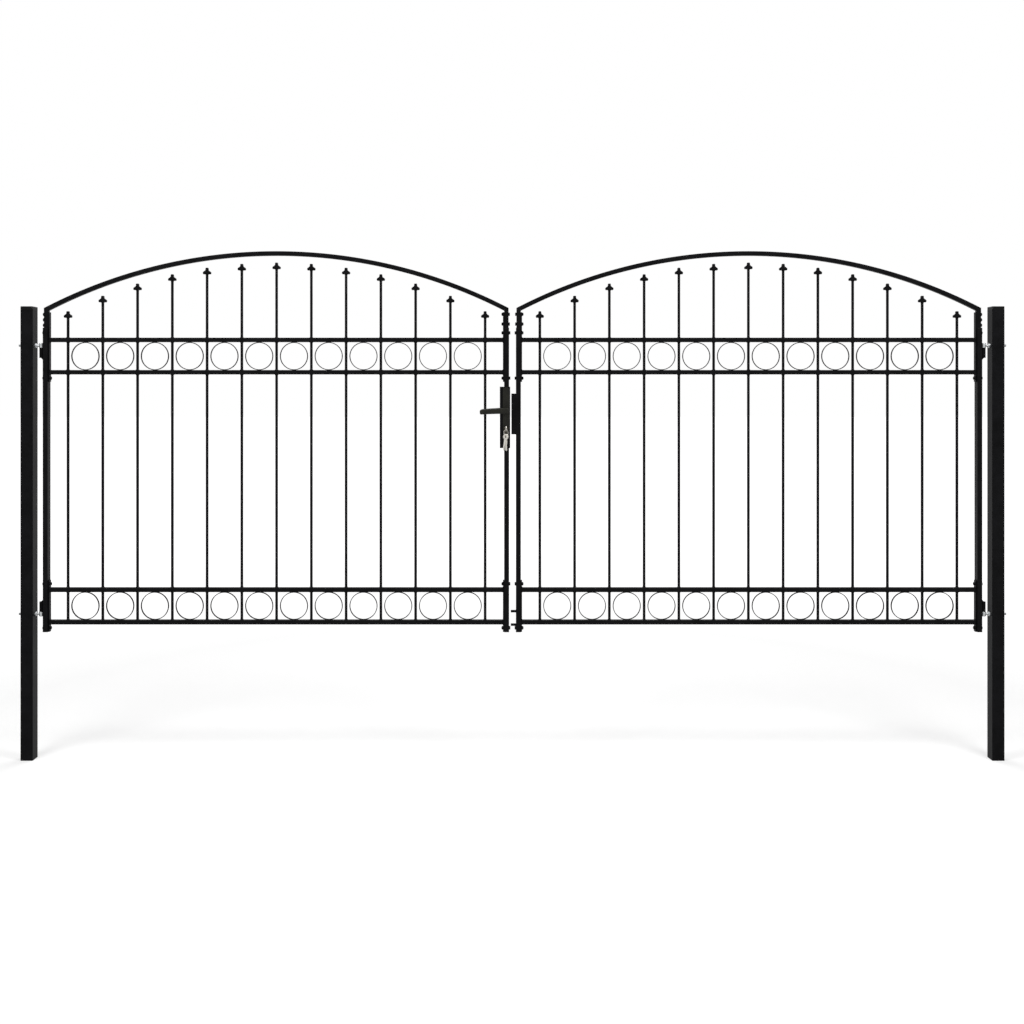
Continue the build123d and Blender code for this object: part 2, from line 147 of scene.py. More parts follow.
def finish(name, tones, drift_mm, roughness, grain_mm, grain_depth_mm, specular=0.5, metallic=0.0):
    """A coated, moulded or plated surface: two tones, a drift between them and a fine grain."""
    material = bpy.data.materials.new(name)
    tree = empty_tree(material)
    place = add(tree, "ShaderNodeTexCoord").outputs["Object"]
    drift = noise(tree, place, drift_mm, drift_detail, drift_roughness)
    grain = noise(tree, place, grain_mm, grain_detail)
    # A Mix node has sockets for each type of data: 2 and 3 take numbers, 6 and 7 take colours
    both = add(tree, "ShaderNodeMix", {"data_type": "FLOAT"}, {0: 0.5}, {2: drift, 3: grain}).outputs[0]
    two_tones = {6: linear(tones[0]), 7: linear(tones[1])}
    share = stretch(tree, both, tone_range)
    colour = add(tree, "ShaderNodeMix", {"data_type": "RGBA"}, two_tones, {0: share}).outputs[2]
    gloss = stretch(tree, drift, gloss_range, roughness)
    depth = {"Strength": bump_strength, "Distance": grain_depth_mm * mm}
    bump = add(tree, "ShaderNodeBump", values=depth, links={"Height": grain}).outputs["Normal"]
    shader = add(
        tree,
        "ShaderNodeBsdfPrincipled",
        values={"Metallic": metallic, "Specular IOR Level": specular},
        links={"Base Color": colour, "Roughness": gloss, "Normal": bump},
    )
    add(tree, "ShaderNodeOutputMaterial", links={"Surface": shader.outputs["BSDF"]})
    print(name, "from", *tones, "with", len(tree.nodes), "nodes")
    return material


# %% [markdown]
# ## Black finishes
# The steel has polyester powder baked on it, a dull black. The caps and plugs are polyethylene from a
# finely sparked mould, matt and even. The zinc alloy covers of the lock and its nylon levers get a warmer
# and lighter black than the steel, which is a painted highlight for the light their raised faces catch.
# More roughness alone could dull them, but it spreads the same light wider. The pits of such a grain
# swallow most of what a smooth coat would mirror, so the specular level is set far below the usual 0.5.

# %% Powder coat, moulded plastic, and covers with a painted highlight
powder_coat = finish(
    "dull_black_powder_coat",
    tones=("#050506", "#131315"),
    drift_mm=60,
    roughness=(0.38, 0.46),
    grain_mm=2.4,
    grain_depth_mm=0.06,
    specular=0.06,
)
moulded_black = finish(
    "moulded_black_plastic",
    tones=("#060606", "#141415"),
    drift_mm=40,
    roughness=(0.42, 0.5),
    grain_mm=1.6,
    grain_depth_mm=0.04,
    specular=0.1,
)
# A lighter, warmer black for the lock's covers and levers: a painted highlight for the light on their
# raised faces
cover_painted_highlight = finish(
    "cover_black_painted_highlight",
    tones=("#12120f", "#22221b"),
    drift_mm=30,
    roughness=(0.34, 0.44),
    grain_mm=2.0,
    grain_depth_mm=0.04,
    specular=0.16,
)

# %% [markdown]
# ## Plated finishes
# The hinge bolts have bright zinc plate: grey, a little cloudy, with fine crystals. The keys are nickel
# over brass, pale and slightly warm, dulled by handling. The cylinder of a black lock has the same plate
# burnished black. A glossy grey paint would shine white. A metal tints what it mirrors, and Metallic at
# 1 does just that.

# %% Zinc and nickel
zinc = finish(
    "zinc_plated_steel",
    tones=("#a9acad", "#cbcdce"),
    drift_mm=9,
    roughness=(0.34, 0.5),
    grain_mm=1.5,
    grain_depth_mm=0.03,
    metallic=1.0,
)
nickel = finish(
    "nickel_plated_brass",
    tones=("#c2bfb8", "#dedbd4"),
    drift_mm=8,
    roughness=(0.28, 0.4),
    grain_mm=0.8,
    grain_depth_mm=0.02,
    metallic=1.0,
)
black_nickel = finish(
    "burnished_nickel",
    tones=("#38362f", "#4a473f"),
    drift_mm=8,
    roughness=(0.3, 0.4),
    grain_mm=0.8,
    grain_depth_mm=0.02,
    metallic=1.0,
)

# %% [markdown]
# ## A finish on each solid
# The gate's record gives each solid a slot, such as black_coat, and each slot has its finish here. Two
# places depart from that. The cylinder is the burnished one, and the pads of the lock plates get the
# lighter cover black, a painted highlight. A pad is one solid with its plate, so its faces are picked by
# how far they stand out.

# %% Finishes by slot, and the lock's own
finishes = {"black_coat": powder_coat, "black_plastic": moulded_black, "zinc_steel": zinc, "nickel": nickel}
pad_rise = 2.7 * mm  # a little under the 3 mm by which the pads stand off

for part in frame["record"]["subparts"]:
    mesh = frame["nodes"][part["node"]].data
    mesh.materials.clear()
    mesh.materials.append(finishes[part["material_slot"]])
frame["nodes"]["lock_cylinder"].data.materials[0] = black_nickel
# The raised pad faces get the lighter cover black, a painted highlight
for node in ("front_lock_plate", "back_lock_plate"):
    mesh = frame["nodes"][node].data
    mesh.materials.append(cover_painted_highlight)
    reach = max(abs(v.co.y) for v in mesh.vertices) - pad_rise
    for face in mesh.polygons:
        face.material_index = int(abs(face.center.y) > reach)
used = {material.name for node in frame["nodes"].values() for material in node.data.materials}
print(len(used), "finishes on", len(frame["nodes"]), "solids")

# %% [markdown]
# ## Soft edges on the tubes
# Drawn steel tube has rounded corners, which catch a thin line of light. The solids have sharp ones,
# so a Weld modifier joins their triangles and a Bevel modifier rounds the corners. Modifiers leave the
# solids themselves as they are, and a Weighted Normal keeps the wide faces flat to the eye.

# %% Round the corners of a solid
merge_reach = 0.01 * mm
sharp_angle = math.radians(40)


def soften(node, radius_mm):
    """Rounds the sharp corners of a solid with modifiers alone."""
    obj = frame["nodes"][node]
    weld = obj.modifiers.new("weld", "WELD")
    weld.merge_threshold = merge_reach
    bevelled = obj.modifiers.new("bevel", "BEVEL")
    bevelled.width = radius_mm * mm
    bevelled.segments = 2
    bevelled.limit_method = "ANGLE"
    bevelled.angle_limit = sharp_angle
    bevelled.material = -1
    obj.data.polygons.foreach_set("use_smooth", [True] * len(obj.data.polygons))
    normals = obj.modifiers.new("normals", "WEIGHTED_NORMAL")
    normals.keep_sharp = True


# %% Tubes, plates and boxes
pair_radius_mm = {
    "outer_stile": 1.2,
    "inner_stile": 1.2,
    "lower_band_bottom_rail": 1.0,
    "lower_band_top_rail": 1.0,
    "upper_band_bottom_rail": 1.0,
    "upper_band_top_rail": 1.0,
    "lower_end_plates": 0.6,
    "upper_end_plates": 0.6,
    "stile_plugs": 0.6,
    "post_cap": 0.8,
}
lock_radius_mm = {
    "lock_case": 1.0,
    "front_lock_plate": 0.8,
    "back_lock_plate": 0.8,
    "strike_box": 0.9,
    "lock_cylinder": 0.4,
}

for kind, radius_mm in pair_radius_mm.items():
    for side in ("left", "right"):
        soften(f"{side}_{kind}", radius_mm)
for node, radius_mm in lock_radius_mm.items():
    soften(node, radius_mm)
print("softened", 2 * len(pair_radius_mm) + len(lock_radius_mm), "solids")

# %% [markdown]
# ## Pieces that ride on the gate
# A new piece is shaped in a bmesh, turned into a mesh at its place and tied to the body that carries
# it. The right leaf is the left one in a mirror, so each lattice piece is shaped once and its copy is
# scaled by -1 across the middle of the gate. That turns its faces inside out, so they are reversed.

# %% A piece, and a pair of them


def piece(name, bm, material, body, replaced=(), crease=35):
    """A finished piece from a bmesh, riding on a body and standing for the nodes it replaces."""
    for face in bm.faces:
        face.smooth = True
    mesh = bpy.data.meshes.new(name)
    bm.to_mesh(mesh)
    bm.free()
    mesh.set_sharp_from_angle(angle=math.radians(crease))
    mesh.materials.append(material)
    obj = bpy.data.objects.new(name, mesh)
    bpy.context.collection.objects.link(obj)
    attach(obj, body)
    if replaced:
        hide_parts(*replaced)
    print(name, "with", len(mesh.polygons), "faces on", body)


def pair(name, bm, material, bodies=("left_leaf", "right_leaf"), replaced=(), crease=35):
    """The piece on the left and its mirrored copy on the right."""
    twin = bm.copy()
    bmesh.ops.scale(twin, vec=(-1, 1, 1), space=Matrix.Translation((-middle_x, 0, 0)), verts=twin.verts)
    bmesh.ops.reverse_faces(twin, faces=twin.faces)
    for side, shape, body in (("left", bm, bodies[0]), ("right", twin, bodies[1])):
        stands_for = [f"{side}_{kind}" for kind in replaced]
        piece(f"{side}_{name}", shape, material, body, stands_for, crease)


# %% [markdown]
# ## Pickets
# Each picket is a round bar that passes through three rails and stands on the lowest one. The solids
# are hexagons, which keeps the model light, so here each becomes round. A curve with a bevel could draw
# it, but a cone of sixteen sides with equal ends takes one call. The places of the pickets are read from
# the solids, and not typed again, so the two can't drift apart.

# %% Where the pickets stand
picket_count = 13
picket_radius = 5.5 * mm
beside = 20 * mm


def picket_middles(node):
    """X of each picket's middle, read from the box of its solid."""
    low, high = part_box(node)
    half = picket_radius / math.cos(math.pi / 6)  # to a corner of the hexagon
    pitch = (high.x - low.x - 2 * half) / (picket_count - 1)
    return [low.x + half + i * pitch for i in range(picket_count)]


pickets_x = picket_middles("left_pickets")
picket_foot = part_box("left_pickets")[0].z
picket_points = [v.co for v in frame["nodes"]["left_pickets"].data.vertices]
picket_tops = [max(p.z for p in picket_points if abs(p.x - x) < beside) for x in pickets_x]
print(len(pickets_x), "pickets from", round(pickets_x[0], 4), "to", round(pickets_x[-1], 4))

# %% Round pickets


def upright(x, y, z):
    """A place with no turn."""
    return Matrix.Translation((x, y, z))


def rod(bm, place, length, radius, end_radius=None, segments=16):
    """The vertices of a round bar or cone, centred on a place and along the place's Z."""
    return bmesh.ops.create_cone(
        bm,
        cap_ends=True,
        segments=segments,
        radius1=radius,
        radius2=radius if end_radius is None else end_radius,
        depth=length,
        matrix=place,
    )["verts"]


bars = bmesh.new()
for x, top in zip(pickets_x, picket_tops):
    rod(bars, upright(x, 0, (picket_foot + top) / 2), top - picket_foot, picket_radius)
pair("round_pickets", bars, powder_coat, replaced=["pickets"])

# %% [markdown]
# ## Welds round the pickets
# Where a picket goes through a rail, weld runs round it above and below and flares out on the rail. A
# sculpted bead would show its ripples, but at this size a short cone says the same with few faces. One
# more, a little smaller, flares up under each finial.

# %% Weld flares
flare_height = 3.5 * mm
flare_radius = 8.2 * mm
finial_flare_radius = 0.8 * flare_radius
rail_kinds = [f"{band}_band_{edge}_rail" for band in ("lower", "upper") for edge in ("bottom", "top")]
rails = [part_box(f"left_{kind}") for kind in rail_kinds]

flares = bmesh.new()
for x, top in zip(pickets_x, picket_tops):
    for low, high in rails:
        rod(flares, upright(x, 0, high.z + flare_height / 2), flare_height, flare_radius, picket_radius)
        if low.z > picket_foot:
            rod(flares, upright(x, 0, low.z - flare_height / 2), flare_height, picket_radius, flare_radius)
    rod(flares, upright(x, 0, top - flare_height / 2), flare_height, picket_radius, finial_flare_radius)
pair("picket_welds", flares, powder_coat, crease=60)

# %% [markdown]
# ## Finials
# A finial is a small forging: a blunt point between two drooping lobes. It could be sculpted, but all of
# them come from one die, so one outline serves. A few vertices draw half of it, and the other half is
# their mirror. Bevelling the corners gives the round lobes, the face is then extruded to its thickness,
# and a last bevel softens the rims as forging does.

# %% Bevel, thicken and join


def bevel(bm, geom, offset, affect, segments):
    """Rounds some vertices or edges, or chamfers them with one segment."""
    bmesh.ops.bevel(
        bm,
        geom=geom,
        offset=offset,
        offset_type="OFFSET",
        affect=affect,
        segments=segments,
        profile=0.5,
        material=-1,
    )


def thicken(bm, faces, depth):
    """Extrudes faces along Y, which closes them to a slab."""
    grown = bmesh.ops.extrude_face_region(bm, geom=faces)
    moved = [v for v in grown["geom"] if isinstance(v, bmesh.types.BMVert)]
    bmesh.ops.translate(bm, vec=(0, depth, 0), verts=moved)


def join(bm, shape):
    """Adds one bmesh to another, and returns the vertices and edges that came in."""
    scrap = bpy.data.meshes.new("scrap")
    shape.to_mesh(scrap)
    shape.free()
    before = set(bm.verts) | set(bm.edges)
    bm.from_mesh(scrap)
    bpy.data.meshes.remove(scrap)
    return [part for part in (*bm.verts, *bm.edges) if part not in before]


# %% Forged finials
finial_half_mm = [(5.8, 0.0), (16.2, 0.6), (17.0, 9.0), (6.4, 16.4), (5.6, 27.0)]
finial_thickness = 10 * mm
lobe_round = 2.6 * mm
forge_round = 1.8 * mm


def add_finial(bm, x, foot):
    """One finial with its foot at a height."""
    half = [(u * mm, v * mm) for u, v in finial_half_mm]
    outline = half + [(-u, v) for u, v in reversed(half)]
    shape = bmesh.new()
    shape.faces.new([shape.verts.new((x + u, -finial_thickness / 2, foot + v)) for u, v in outline])
    bevel(shape, shape.verts[:], lobe_round, "VERTICES", segments=4)
    thicken(shape, shape.faces[:], finial_thickness)
    bmesh.ops.recalc_face_normals(shape, faces=shape.faces)
    rims = [e for e in shape.edges if abs(e.verts[0].co.y - e.verts[1].co.y) < merge_reach]
    bevel(shape, rims, forge_round, "EDGES", segments=2)
    join(bm, shape)


forgings = bmesh.new()
for x, top in zip(pickets_x, picket_tops):
    add_finial(forgings, x, top)
pair("forged_finials", forgings, powder_coat, replaced=["finials"], crease=50)

# %% [markdown]
# ## Rings
# Flat strip is rolled into rings, which are welded between the two rails of a band. A ring could be a
# torus, but its section is flat, so a small rectangle is spun once round the middle of the ring: the
# strip's rims are bevelled before the spin, and the spin merges its two ends.

# %% A rounded section, and a spin


def rounded_loop(bm, corners, radius, segments, turned=slice(None)):
    """An outline with rounded corners, as the vertices and edges that a spin or a bridge takes."""
    shape = bmesh.new()
    points = [shape.verts.new(corner) for corner in corners]
    shape.faces.new(points)
    bevel(shape, points[turned], radius, "VERTICES", segments)
    bmesh.ops.delete(shape, geom=shape.faces[:], context="FACES_ONLY")
    return join(bm, shape)


def strip_section(inner, outer, width):
    """The corners of a strip: how far each is from the axis, and how far along it."""
    half = width / 2
    return [(inner, -half), (outer, -half), (outer, half), (inner, half)]


def spin_round(bm, loop, middle, axis, steps):
    """Spins a section once round an axis, and merges its two ends."""
    bmesh.ops.spin(bm, geom=loop, cent=middle, axis=axis, angle=2 * math.pi, steps=steps, use_merge=True)


# %% Rolled rings
ring_strip = 3 * mm
ring_depth = 8 * mm
ring_round = 0.7 * mm
ring_steps = 64

rings_x = [(x + next_x) / 2 for x, next_x in zip(pickets_x, pickets_x[1:])]
bands = {"lower": (rails[0][1].z, rails[1][0].z), "upper": (rails[2][1].z, rails[3][0].z)}
for band, (foot, head) in bands.items():
    rings = bmesh.new()
    middle, radius = (foot + head) / 2, (head - foot) / 2
    section = strip_section(radius - ring_strip, radius, ring_depth)
    for x in rings_x:
        corners = [(x + r, along, middle) for r, along in section]
        loop = rounded_loop(rings, corners, ring_round, segments=2)
        spin_round(rings, loop, (x, 0, middle), axis=(0, 1, 0), steps=ring_steps)
    bmesh.ops.recalc_face_normals(rings, faces=rings.faces)
    pair(f"{band}_rolled_rings", rings, powder_coat, replaced=[f"{band}_rings"])

# %% [markdown]
# ## Weld beads
# A bead of weld holds each ring above and below, and beads close the joints between the rails and their
# end plates. A bead is a drop of metal that has set, so a sphere stretched to its three half sizes and
# sunk half into both pieces is enough.

# %% Beads on rings and rails
ring_bead_mm = (9.0, 5.0, 2.2)  # half sizes along X, Y and Z
rail_bead_mm = (2.4, 8.5, 2.4)
bead_segments = 10
bead_rings = 6


def add_bead(bm, x, z, halves_mm):
    """A weld bead, as a sphere stretched to its half sizes."""
    place = upright(x, 0, z) @ Matrix.Diagonal((*(half * mm for half in halves_mm), 1))
    bmesh.ops.create_uvsphere(bm, u_segments=bead_segments, v_segments=bead_rings, radius=1, matrix=place)


beads = bmesh.new()
for levels in bands.values():
    for x in rings_x:
        for z in levels:
            add_bead(beads, x, z, ring_bead_mm)
for low, high in rails:
    for x in (low.x, high.x):
        for z in (low.z, high.z):
            add_bead(beads, x, z, rail_bead_mm)
pair("welds", beads, powder_coat, crease=80)

# %% [markdown]
# ## Arch
# The arch is a square tube bent to a long curve, mitred at each end to a short straight leg on the
# stile. A bevelled curve object would round the mitres off, so a square section with rounded corners is
# spun along the curve instead. At a mitre both tubes share one slanting section, which a shear makes out
# of the square one: it halves the angle between them.

# %% The curve of the arch
tube = rails[0][1].z - rails[0][0].z
leg_height = 76 * mm

arch_low, arch_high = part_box("left_arch")
arch_middle = (arch_low.x + arch_high.x) / 2
half_chord = (arch_high.x - arch_low.x - tube) / 2
spring = arch_low.z + leg_height
rise = arch_high.z - tube / 2 - spring
arch_radius = (half_chord**2 + rise**2) / (2 * rise)
arch_centre = Vector((arch_middle, 0, spring + rise - arch_radius))
half_angle = math.asin(half_chord / arch_radius)
mitre_slant = math.tan(math.pi / 4 - half_angle / 2)
print("arch of radius", round(arch_radius, 3), "over", round(math.degrees(2 * half_angle), 1), "degrees")

# %% Sections of the tube
tube_round = 1.6 * mm


def lying(x, y, z):
    """A place where a shape's own +Z points along +X."""
    return Matrix.Translation((x, y, z)) @ Matrix.Rotation(math.pi / 2, 4, "Y")


def tube_loop(bm, place):
    """The tube's section at a place, across the place's Z."""
    half = tube / 2
    square = [(-half, -half, 0), (half, -half, 0), (half, half, 0), (-half, half, 0)]
    return rounded_loop(bm, [place @ Vector(corner) for corner in square], tube_round, segments=3)


def edges_of(*groups):
    """The edges among some groups of geometry."""
    return [part for group in groups for part in group if isinstance(part, bmesh.types.BMEdge)]


# %% Mitred arches
mitre_lead = 12 * mm  # from the mitre to the first spun section
arch_steps = 72

arch = bmesh.new()
sweep = half_angle - mitre_lead / arch_radius
start = Matrix.Translation(arch_centre) @ Matrix.Rotation(-sweep, 4, "Y")
first_loop = tube_loop(arch, start @ lying(0, 0, arch_radius))
turn = {"cent": arch_centre, "axis": (0, 1, 0), "angle": 2 * sweep}
last_loop = bmesh.ops.spin(arch, geom=first_loop, steps=arch_steps, **turn)["geom_last"]
for arch_end, side in ((first_loop, -1), (last_loop, 1)):
    leg_x = arch_middle + side * half_chord
    shear = Matrix.Identity(4)
    shear[2][0] = side * mitre_slant
    mitre = tube_loop(arch, upright(leg_x, 0, spring) @ shear)
    leg_foot = tube_loop(arch, upright(leg_x, 0, arch_low.z))
    bmesh.ops.contextual_create(arch, geom=edges_of(leg_foot))
    bmesh.ops.bridge_loops(arch, edges=edges_of(leg_foot, mitre))
    bmesh.ops.bridge_loops(arch, edges=edges_of(mitre, arch_end))
bmesh.ops.recalc_face_normals(arch, faces=arch.faces)
pair("mitred_arch", arch, powder_coat, replaced=["arch"], crease=40)

# %% [markdown]
# ## Bolts of the frame
# The lattice panel is bolted to the stiles and to the legs of the arch, with hexagon heads outside. Nuts
# show on the end plates, apart from the bolts by the outer leg, which are screwed into the plate itself.
# Only what shows is made, so there are no shanks inside the tubes. A hexagon is a cone of six sides, and
# its outer rim is bevelled, as the chamfer of a real head is.

# %% Hexagons and bolts
bolt_across = 13 * mm
head_height = 5.3 * mm
nut_height = 5 * mm
bolt_radius = 4 * mm
bolt_end = 1 * mm
chamfer_share = 0.07


def facing(x, z, way):
    """A place on an upright face whose outward normal is +X or -X."""
    return Matrix.Translation((x, 0, z)) @ Matrix.Rotation(way * math.pi / 2, 4, "Y")


def rod_along_x(bm, x_from, x_to, z, radius, segments):
    """A round bar along X between two places."""
    rod(bm, lying((x_from + x_to) / 2, 0, z), abs(x_to - x_from), radius, segments=segments)


def hexagon(bm, place, height, across):
    """A hexagon block along a place's Z, its far rim bevelled."""
    raised = place @ Matrix.Translation((0, 0, height / 2))
    block = rod(bm, raised, height, across / math.sqrt(3), segments=6)
    inverse = place.inverted()
    far = [v for v in block if (inverse @ v.co).z > height / 2]
    rim = [e for e in bm.edges if e.verts[0] in far and e.verts[1] in far]
    bevel(bm, rim, across * chamfer_share, "EDGES", segments=1)


def frame_bolt(bm, head_x, z, way, nut_x=None):
    """A bolt along X: its head, and its nut and end where a nut shows."""
    hexagon(bm, facing(head_x, z, -way), head_height, bolt_across)
    if nut_x is not None:
        hexagon(bm, facing(nut_x, z, way), nut_height, bolt_across)
        rod_along_x(bm, nut_x, nut_x + way * (nut_height + bolt_end), z, bolt_radius, segments=12)


# %% Bolts through stiles and legs
plate_thickness = 5 * mm
outer_leg_bolts_mm = (11, 33, 55)  # over the foot of the leg
inner_leg_bolts_mm = (16, 56)

stile_low, stile_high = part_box("left_outer_stile")
inner_low, inner_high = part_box("left_inner_stile")
lower_low, lower_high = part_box("left_lower_end_plates")
upper_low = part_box("left_upper_end_plates")[0]
outer_nut_x = stile_high.x + plate_thickness
inner_nut_x = inner_low.x - plate_thickness
plate_ends = (lower_low, rails[0][0]), (lower_high, rails[1][1]), (upper_low, rails[2][0])

bolts = bmesh.new()
for plate_end, rail_edge in plate_ends:
    z = (plate_end.z + rail_edge.z) / 2
    frame_bolt(bolts, stile_low.x, z, 1, outer_nut_x)
    frame_bolt(bolts, inner_high.x, z, -1, inner_nut_x)
top_z = (arch_low.z + rails[3][1].z) / 2
frame_bolt(bolts, stile_low.x, top_z, 1)
frame_bolt(bolts, inner_high.x, top_z, -1, inner_nut_x)
for lift in outer_leg_bolts_mm:
    frame_bolt(bolts, arch_low.x, arch_low.z + lift * mm, 1)
for lift in inner_leg_bolts_mm:
    frame_bolt(bolts, arch_high.x, arch_low.z + lift * mm, -1, inner_nut_x)
pair("frame_bolts", bolts, powder_coat, crease=20)

# %% [markdown]
# ## Eye bolts
# Each leaf turns on two eye bolts that run right through the post. The eye is a ring with soft rims,
# made by a spin, and the shank carries a metric thread. A bump could fake the thread, but its outline
# shows here: one tooth is spun round the bolt while each step moves it along, as a thread is cut.

# %% A thread and an eye
shank_radius = 5 * mm
thread_pitch = 1.5 * mm
thread_root = shank_radius - 0.75 * mm
steps_a_turn = 16
eye_radius = 9 * mm
bore_radius = 5.05 * mm
eye_round = 1.6 * mm
eye_steps = 36


def add_thread(bm, x_from, x_to, z):
    """A screw thread along X between two places."""
    turns = math.ceil((x_to - x_from) / thread_pitch)
    tooth = [(0, thread_root), (thread_pitch / 2, shank_radius), (thread_pitch, thread_root)]
    before = set(bm.verts)
    points = [bm.verts.new((x_from + along, 0, z + radius)) for along, radius in tooth]
    edges = [bm.edges.new(points[i : i + 2]) for i in range(2)]
    bmesh.ops.spin(
        bm,
        geom=points + edges,
        cent=(0, 0, z),
        axis=(1, 0, 0),
        dvec=(thread_pitch / steps_a_turn, 0, 0),
        angle=2 * math.pi * turns,
        steps=turns * steps_a_turn,
    )
    bmesh.ops.remove_doubles(bm, verts=[v for v in bm.verts if v not in before], dist=0.1 * merge_reach)
    bmesh.ops.holes_fill(bm, edges=[e for e in bm.edges if e.is_boundary])


def add_eye(bm, x, z, height):
    """The eye: a section with soft outer rims, spun about its upright bore."""
    corners = [(x + r, 0, z + along) for r, along in strip_section(bore_radius, eye_radius, height)]
    loop = rounded_loop(bm, corners, eye_round, segments=3, turned=slice(1, 3))
    spin_round(bm, loop, (x, 0, z), axis=(0, 0, 1), steps=eye_steps)


# %% Eye bolts and their nuts
eye_height = 18 * mm
neck_length = 7 * mm  # between eye and thread
neck_overlap = 4 * mm  # into the eye
thread_inset = 0.4 * mm  # from the end of the shank
core_radius = thread_root + 0.05 * mm
shank_segments = 24
nut_across = 17 * mm
hinge_nut_height = 5 * mm

eye_low, eye_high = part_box("left_eye_bolts")
post_low, post_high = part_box("left_post")
hinge_x = eye_high.x - eye_radius
neck_x = hinge_x - eye_radius
eyes = bmesh.new()
nuts = bmesh.new()
for z in (eye_low.z + eye_height / 2, eye_high.z - eye_height / 2):
    add_eye(eyes, hinge_x, z, eye_height)
    rod_along_x(eyes, neck_x - neck_length, neck_x + neck_overlap, z, shank_radius, shank_segments)
    rod_along_x(eyes, eye_low.x, neck_x, z, core_radius, shank_segments)
    add_thread(eyes, eye_low.x + thread_inset, neck_x - neck_length, z)
    hexagon(nuts, facing(post_high.x, z, 1), hinge_nut_height, nut_across)
bmesh.ops.recalc_face_normals(eyes, faces=eyes.faces)
pair("eye_bolt_threads", eyes, zinc, ("posts", "posts"), ["eye_bolts"], crease=50)
pair("hinge_lock_nuts", nuts, zinc, ("posts", "posts"), ["hinge_nuts"], crease=20)

# %% [markdown]
# ## Lever
# Two moulded levers share one square spindle, and each bends from a round neck into an arm along the
# leaf. An arm is a row of rounded loops joined by bridges: they shrink at both ends, which rounds the
# ends off, and drop towards the tip, which makes it droop. A bevelled box would look stamped instead.

# %% The loops of an arm
arm_thickness = 10 * mm
tip_height = 20 * mm
root_height = 24 * mm
tip_droop = 5 * mm
arm_round_share = 0.8
# Distance from either end, then shares of the height and of the thickness there
end_rounding_mm = [(0, 0.4, 0.4), (0.6, 0.64, 0.62), (1.8, 0.82, 0.82), (3.5, 0.94, 0.95), (7, 1, 1)]

lever_low, lever_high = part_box("lever_handles")
joints = {joint["name"]: joint for joint in frame["record"]["behaviour"]["joints"]}
spindle = Vector(joints["lever_spindle"]["pos_m"])
arm_length = lever_high.x - lever_low.x
tip_end = [(from_end * mm, tall, thick) for from_end, tall, thick in end_rounding_mm]
root_end = [(arm_length - from_end, tall, thick) for from_end, tall, thick in reversed(tip_end)]
straight = [(share * arm_length, 1, 1) for share in (0.35, 0.65)]


def arm_loop(bm, arm_middle, along, tall, thick):
    """The arm's section at a distance from its tip."""
    share = along / arm_length
    x = lever_low.x + along
    z = spindle.z - tip_droop * (1 - share) ** 2
    across = thick * arm_thickness / 2
    up = tall * (tip_height + share * (root_height - tip_height)) / 2
    corners = [(x, arm_middle + u * across, z + v * up) for u, v in ((-1, -1), (1, -1), (1, 1), (-1, 1))]
    return rounded_loop(bm, corners, arm_round_share * min(across, up), segments=4)


print("lever from", [round(v, 3) for v in lever_low], "to", [round(v, 3) for v in lever_high])

# %% Two levers on one spindle
lever_gap = 0.3 * mm  # off the pad
neck_radius = 9 * mm
spindle_corner = 5.6 * mm


def inward(x, y, z):
    """A place where a shape's own Z lies along Y."""
    return Matrix.Translation((x, y, z)) @ Matrix.Rotation(math.pi / 2, 4, "X")


pad_front = -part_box("front_lock_plate")[0].y
neck_start = pad_front + lever_gap
handles = bmesh.new()
for front, side in ((lever_low.y, -1), (lever_high.y, 1)):
    arm_middle = front - side * arm_thickness / 2
    loops = [arm_loop(handles, arm_middle, *facts) for facts in tip_end + straight + root_end]
    for loop, following in zip(loops, loops[1:]):
        bmesh.ops.bridge_loops(handles, edges=edges_of(loop, following))
    for end in (loops[0], loops[-1]):
        bmesh.ops.contextual_create(handles, geom=edges_of(end))
    neck = abs(arm_middle) - neck_start
    neck_place = inward(spindle.x, side * (neck_start + neck / 2), spindle.z)
    rod(handles, neck_place, neck, neck_radius, segments=28)
quarter = Matrix.Rotation(math.pi / 4, 4, "Z")
rod(handles, inward(*spindle) @ quarter, 2 * pad_front + lever_gap, spindle_corner, segments=4)
bmesh.ops.recalc_face_normals(handles, faces=handles.faces)
# The levers take the lighter cover black, a painted highlight
piece("lever_bars", handles, cover_painted_highlight, "lever", ["lever_handles"], crease=50)

# %% [markdown]
# ## Keys
# A key stands in the cylinder, and two spares hang from it on a split ring. The bow of a key is a flat
# section spun round its hole. The blade is an outline with its cuts, drawn as a face and extruded to its
# thickness, because sawing each cut out of a bar would take a boolean for every notch.

# %% A key
bow_radius = 12 * mm
bow_hole = 4.5 * mm
bow_steps = 36
key_thickness = 2.5 * mm
key_round = 0.5 * mm


def add_key(bm, place, blade_mm):
    """A key with its bow about a place, its plane across the place's Y and its blade downwards."""
    shape = bmesh.new()
    section = strip_section(bow_hole, bow_radius, key_thickness)
    loop = rounded_loop(shape, [(r, along, 0) for r, along in section], key_round, segments=2)
    spin_round(shape, loop, (0, 0, 0), axis=(0, 1, 0), steps=bow_steps)
    blade = [shape.verts.new((x * mm, -key_thickness / 2, z * mm)) for x, z in blade_mm]
    thicken(shape, [shape.faces.new(blade)], key_thickness)
    bmesh.ops.recalc_face_normals(shape, faces=shape.faces)
    bmesh.ops.transform(shape, matrix=place, verts=shape.verts)
    join(bm, shape)


# %% The key in the lock
neck_mm = [(-4.5, -11), (-4.5, -20), (4.5, -20), (4.5, -11)]

key_low, key_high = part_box("lock_key")
bow_middle = Vector((spindle.x, key_low.y + bow_radius, (key_low.z + key_high.z) / 2))
on_edge = Matrix.Rotation(math.pi / 2, 4, "X") @ Matrix.Rotation(math.pi / 2, 4, "Z")
lock_key = bmesh.new()
add_key(lock_key, Matrix.Translation(bow_middle) @ on_edge, neck_mm)
piece("key_in_lock", lock_key, nickel, "left_leaf", ["lock_key"], crease=40)

